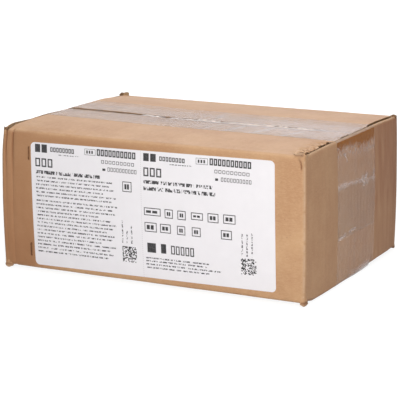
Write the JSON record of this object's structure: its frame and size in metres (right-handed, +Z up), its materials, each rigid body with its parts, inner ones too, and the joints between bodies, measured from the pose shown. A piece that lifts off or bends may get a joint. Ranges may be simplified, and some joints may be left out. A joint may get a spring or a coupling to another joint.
{
  "type": "taped shipping carton",
  "caption": "Sealed corrugated shipping carton with folded flaps, clear tape over its seams, a large white front label and wire stitches in its joint.",
  "frame": {"origin": "middle of the carton's footprint, on the surface that it stands on", "axes": "+X along the length, towards the end panel that the picture shows; -Y out of the labelled front; +Z up"},
  "size_m": [0.2671, 0.1895, 0.1161],
  "materials": {
    "kraft_board": "brown kraft corrugated board, matt, with faint flute lines and crushed folds",
    "coated_paper": "white coated label paper with dark grey print, satin",
    "clear_film": "clear packing tape, hazy where it has not stuck, with whitish creases",
    "stitching_wire": "dull coppered steel wire"
  },
  "bodies": {
    "root": {"carton": "kraft_board", "label": "coated_paper", "top_tape": "clear_film", "bottom_tape": "clear_film", "stitch_upper": "stitching_wire", "stitch_lower": "stitching_wire"}
  },
  "joints": []
}
